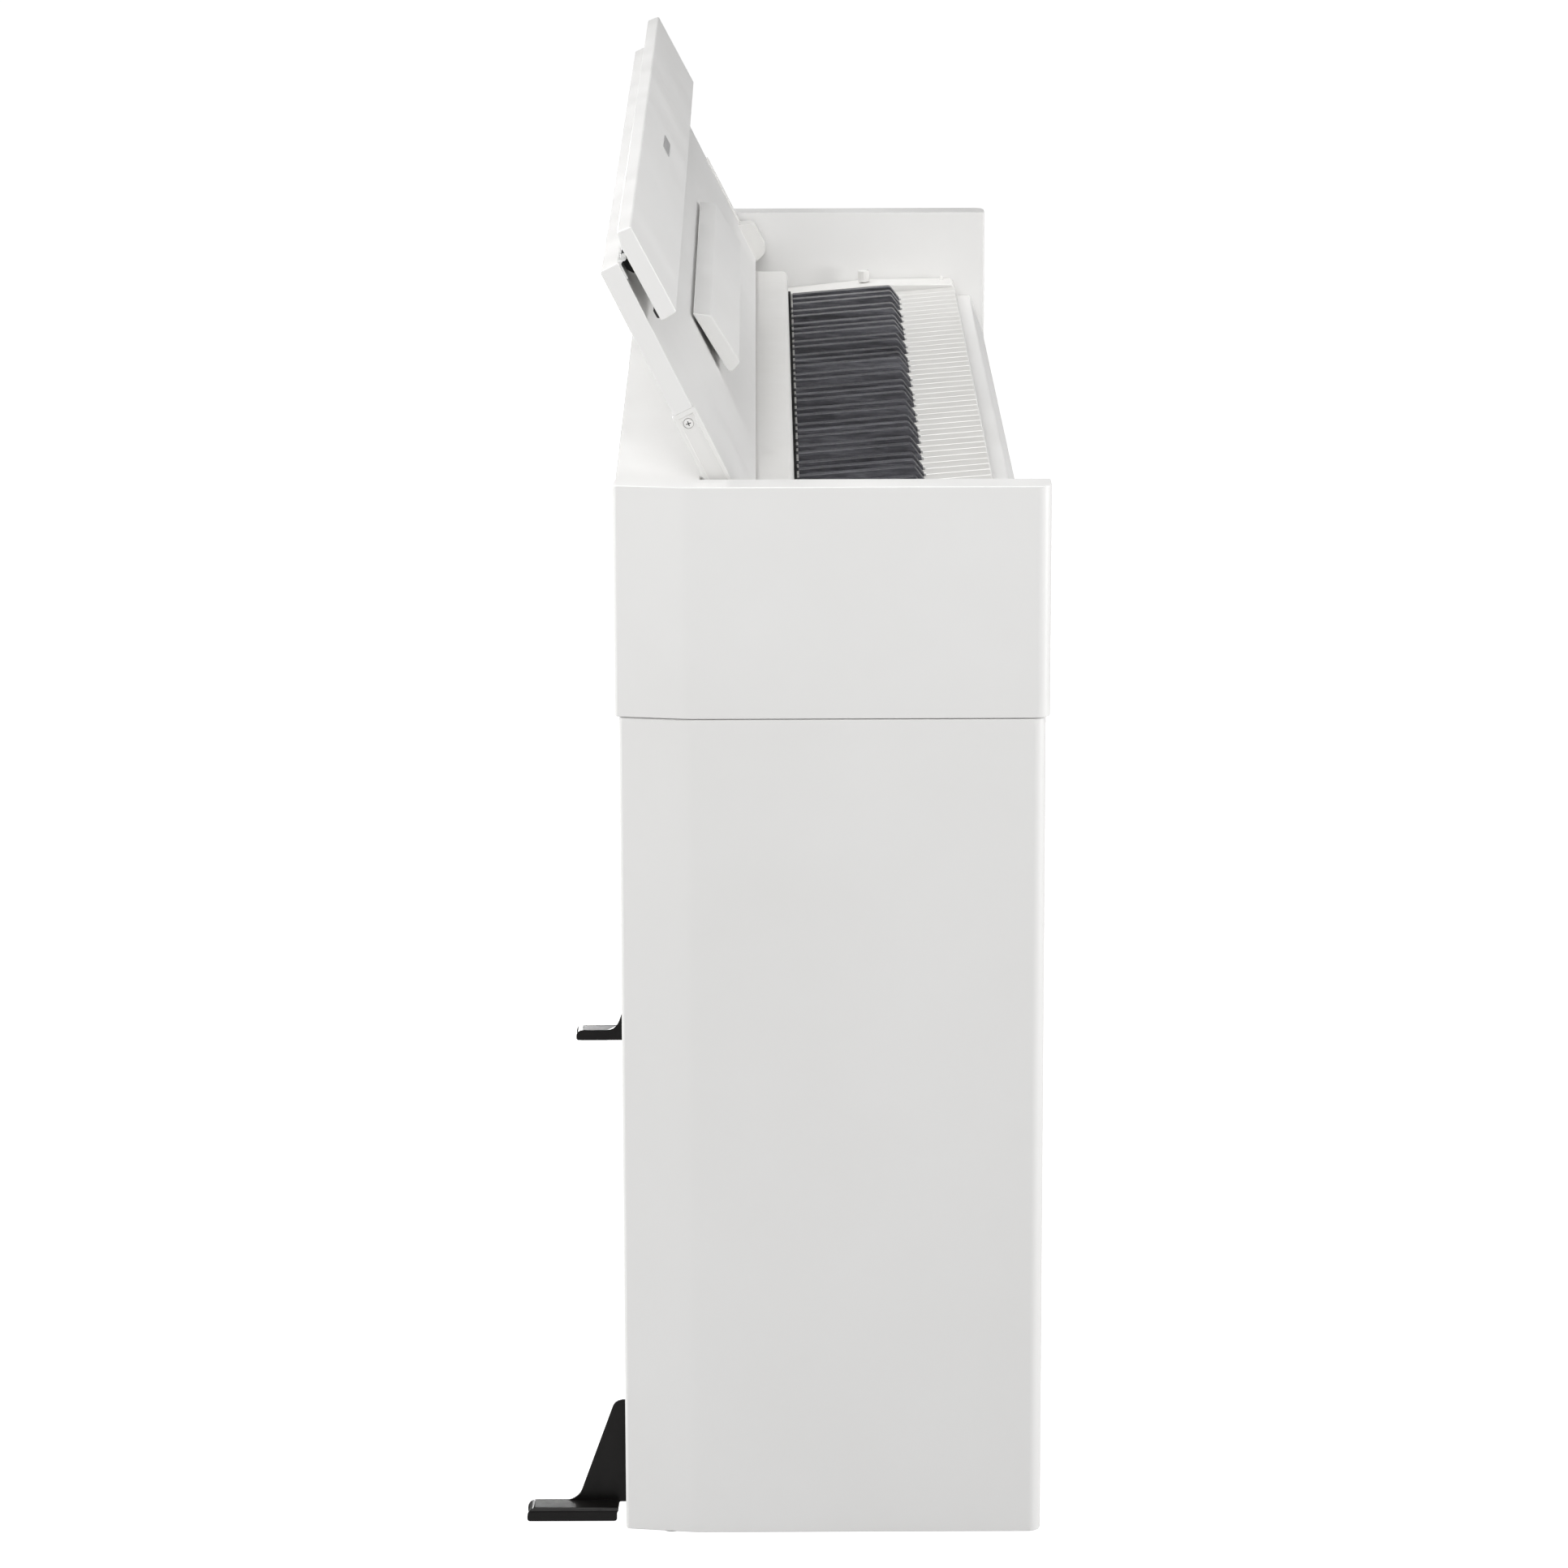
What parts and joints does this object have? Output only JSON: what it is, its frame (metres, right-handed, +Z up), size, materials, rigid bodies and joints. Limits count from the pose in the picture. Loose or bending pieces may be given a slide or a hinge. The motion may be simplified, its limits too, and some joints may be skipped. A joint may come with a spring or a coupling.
{
  "type": "digital piano on stand",
  "caption": "Slim white digital piano on a panel stand: folding lid and flap, weighted keys, pedals and rear anti-tip brackets.",
  "frame": {"origin": "centre of the footprint on the floor, brackets included", "axes": "+Z up, -Y towards the player, +X towards the treble end of the keyboard"},
  "size_m": [1.361, 0.379, 0.957],
  "materials": {
    "white_lacquer_wood": "satin white lacquer on board",
    "ivory_plastic": "ivory-like satin key top",
    "ebony_plastic": "matte grained black key top",
    "black_sheet_metal": "black satin powder coat",
    "steel": "bright zinc plate",
    "chrome": "polished nickel plate",
    "rubber": "matte black rubber",
    "black_plastic": "moulded black plastic",
    "white_plastic": "moulded white plastic",
    "felt": "black wool felt",
    "circuit_board": "green solder mask",
    "grey_badge": "satin grey metal"
  },
  "bodies": {
    "cabinet": {"side_block_left": "white_lacquer_wood", "side_block_right": "white_lacquer_wood", "side_panel_left": "white_lacquer_wood", "side_panel_right": "white_lacquer_wood", "rear_deck": "white_lacquer_wood", "body_back_panel": "white_lacquer_wood", "bottom_board": "white_lacquer_wood", "front_rail": "white_lacquer_wood", "key_deck": "white_plastic", "cheek_blocks": "white_plastic", "back_board": "white_lacquer_wood", "pedal_box": "white_lacquer_wood", "floor_pads": "rubber", "rear_bracket_left": "black_sheet_metal", "rear_bracket_right": "black_sheet_metal", "lid_pins": "steel", "lid_stops": "rubber", "screws": "steel", "key_chassis": "steel", "key_pivot_rod": "steel", "key_felts": "felt", "contact_board": "circuit_board", "main_board": "circuit_board", "jack_panel": "black_plastic", "speakers": "black_plastic", "speaker_grilles": "black_plastic", "headphone_box": "black_plastic", "pedal_rod": "steel"},
    "lid": {"lid_board": "white_lacquer_wood", "lid_end_caps": "white_plastic", "lid_screws": "steel", "hinge_lid_leaves": "steel", "music_rest": "white_lacquer_wood", "music_rest_spacers": "white_plastic"},
    "flap": {"flap_board": "white_lacquer_wood", "hinge_flap_leaves": "black_sheet_metal", "flap_bumpers": "rubber", "badge": "grey_badge"},
    "adjuster": {"adjuster_foot": "rubber"},
    "volume_knob": {"volume_knob": "white_plastic"},
    "power_button": {"power_button": "white_plastic"},
    "function_button": {"function_button": "white_plastic"},
    "metronome_button": {"metronome_button": "white_plastic"},
    "pedal_soft": {"pedal_soft": "chrome"},
    "pedal_sostenuto": {"pedal_sostenuto": "chrome"},
    "pedal_damper": {"pedal_damper": "chrome"},
    "key_c": {"key_c": "ivory_plastic"},
    "key_c_sharp": {"key_c_sharp": "ebony_plastic"},
    "key_d": {"key_d": "ivory_plastic"},
    "key_d_sharp": {"key_d_sharp": "ebony_plastic"},
    "key_e": {"key_e": "ivory_plastic"},
    "key_f": {"key_f": "ivory_plastic"},
    "key_f_sharp": {"key_f_sharp": "ebony_plastic"},
    "key_g": {"key_g": "ivory_plastic"},
    "key_g_sharp": {"key_g_sharp": "ebony_plastic"},
    "key_a": {"key_a": "ivory_plastic"},
    "key_a_sharp": {"key_a_sharp": "ebony_plastic"},
    "key_b": {"key_b": "ivory_plastic"},
    "white_keys": {"white_keys": "ivory_plastic"},
    "black_keys": {"black_keys": "ebony_plastic"}
  },
  "joints": [
    {"name": "lid_hinge", "type": "hinge", "parent": "cabinet", "child": "lid", "pos_m": [0, 0.0265, 0.7585], "axis": [1, 0, 0], "range_deg": [0, 116.5]},
    {"name": "flap_hinge", "type": "hinge", "parent": "lid", "child": "flap", "pos_m": [0, 0.11123, 0.93493], "axis": [-1, 0, 0], "range_deg": [0, 88.4]},
    {"name": "adjuster_turn", "type": "hinge", "parent": "cabinet", "child": "adjuster", "pos_m": [0, 0.0425, 0.01], "axis": [0, 0, 1], "continuous": true},
    {"name": "volume_turn", "type": "hinge", "parent": "cabinet", "child": "volume_knob", "pos_m": [0.631, -0.079, 0.718], "axis": [0, 0, 1], "range_deg": [-150, 150]},
    {"name": "power_button_press", "type": "slide", "parent": "cabinet", "child": "power_button", "axis": [0, 0, -1], "range_m": [0, 0.0015], "stiffness_N_per_m": 300, "springref_m": -0.002},
    {"name": "function_button_press", "type": "slide", "parent": "cabinet", "child": "function_button", "axis": [0, 0, -1], "range_m": [0, 0.0015], "stiffness_N_per_m": 300, "springref_m": -0.002},
    {"name": "metronome_button_press", "type": "slide", "parent": "cabinet", "child": "metronome_button", "axis": [0, 0, -1], "range_m": [0, 0.0015], "stiffness_N_per_m": 300, "springref_m": -0.002},
    {"name": "pedal_soft_press", "type": "hinge", "parent": "cabinet", "child": "pedal_soft", "pos_m": [-0.075, 0.0255, 0.07], "axis": [1, 0, 0], "range_deg": [0, 5.5], "stiffness_Nm_per_rad": 20, "springref_deg": -5.73},
    {"name": "pedal_sostenuto_press", "type": "hinge", "parent": "cabinet", "child": "pedal_sostenuto", "pos_m": [0, 0.0255, 0.07], "axis": [1, 0, 0], "range_deg": [0, 5.5], "stiffness_Nm_per_rad": 20, "springref_deg": -5.73},
    {"name": "pedal_damper_press", "type": "hinge", "parent": "cabinet", "child": "pedal_damper", "pos_m": [0.075, 0.0255, 0.07], "axis": [1, 0, 0], "range_deg": [0, 5.5], "stiffness_Nm_per_rad": 20, "springref_deg": -5.73},
    {"name": "key_c_press", "type": "hinge", "parent": "cabinet", "child": "key_c", "pos_m": [0, 0.0435, 0.69], "axis": [1, 0, 0], "range_deg": [0, 2.8], "stiffness_Nm_per_rad": 1, "springref_deg": -9.17},
    {"name": "key_c_sharp_press", "type": "hinge", "parent": "cabinet", "child": "key_c_sharp", "pos_m": [0, 0.0435, 0.69], "axis": [1, 0, 0], "range_deg": [0, 2.8], "stiffness_Nm_per_rad": 1, "springref_deg": -9.17},
    {"name": "key_d_press", "type": "hinge", "parent": "cabinet", "child": "key_d", "pos_m": [0, 0.0435, 0.69], "axis": [1, 0, 0], "range_deg": [0, 2.8], "stiffness_Nm_per_rad": 1, "springref_deg": -9.17},
    {"name": "key_d_sharp_press", "type": "hinge", "parent": "cabinet", "child": "key_d_sharp", "pos_m": [0, 0.0435, 0.69], "axis": [1, 0, 0], "range_deg": [0, 2.8], "stiffness_Nm_per_rad": 1, "springref_deg": -9.17},
    {"name": "key_e_press", "type": "hinge", "parent": "cabinet", "child": "key_e", "pos_m": [0, 0.0435, 0.69], "axis": [1, 0, 0], "range_deg": [0, 2.8], "stiffness_Nm_per_rad": 1, "springref_deg": -9.17},
    {"name": "key_f_press", "type": "hinge", "parent": "cabinet", "child": "key_f", "pos_m": [0, 0.0435, 0.69], "axis": [1, 0, 0], "range_deg": [0, 2.8], "stiffness_Nm_per_rad": 1, "springref_deg": -9.17},
    {"name": "key_f_sharp_press", "type": "hinge", "parent": "cabinet", "child": "key_f_sharp", "pos_m": [0, 0.0435, 0.69], "axis": [1, 0, 0], "range_deg": [0, 2.8], "stiffness_Nm_per_rad": 1, "springref_deg": -9.17},
    {"name": "key_g_press", "type": "hinge", "parent": "cabinet", "child": "key_g", "pos_m": [0, 0.0435, 0.69], "axis": [1, 0, 0], "range_deg": [0, 2.8], "stiffness_Nm_per_rad": 1, "springref_deg": -9.17},
    {"name": "key_g_sharp_press", "type": "hinge", "parent": "cabinet", "child": "key_g_sharp", "pos_m": [0, 0.0435, 0.69], "axis": [1, 0, 0], "range_deg": [0, 2.8], "stiffness_Nm_per_rad": 1, "springref_deg": -9.17},
    {"name": "key_a_press", "type": "hinge", "parent": "cabinet", "child": "key_a", "pos_m": [0, 0.0435, 0.69], "axis": [1, 0, 0], "range_deg": [0, 2.8], "stiffness_Nm_per_rad": 1, "springref_deg": -9.17},
    {"name": "key_a_sharp_press", "type": "hinge", "parent": "cabinet", "child": "key_a_sharp", "pos_m": [0, 0.0435, 0.69], "axis": [1, 0, 0], "range_deg": [0, 2.8], "stiffness_Nm_per_rad": 1, "springref_deg": -9.17},
    {"name": "key_b_press", "type": "hinge", "parent": "cabinet", "child": "key_b", "pos_m": [0, 0.0435, 0.69], "axis": [1, 0, 0], "range_deg": [0, 2.8], "stiffness_Nm_per_rad": 1, "springref_deg": -9.17},
    {"name": "white_keys_press", "type": "hinge", "parent": "cabinet", "child": "white_keys", "pos_m": [0, 0.0435, 0.69], "axis": [1, 0, 0], "range_deg": [0, 2.8], "stiffness_Nm_per_rad": 45, "springref_deg": -9.17},
    {"name": "black_keys_press", "type": "hinge", "parent": "cabinet", "child": "black_keys", "pos_m": [0, 0.0435, 0.69], "axis": [1, 0, 0], "range_deg": [0, 2.8], "stiffness_Nm_per_rad": 31, "springref_deg": -9.17}
  ]
}
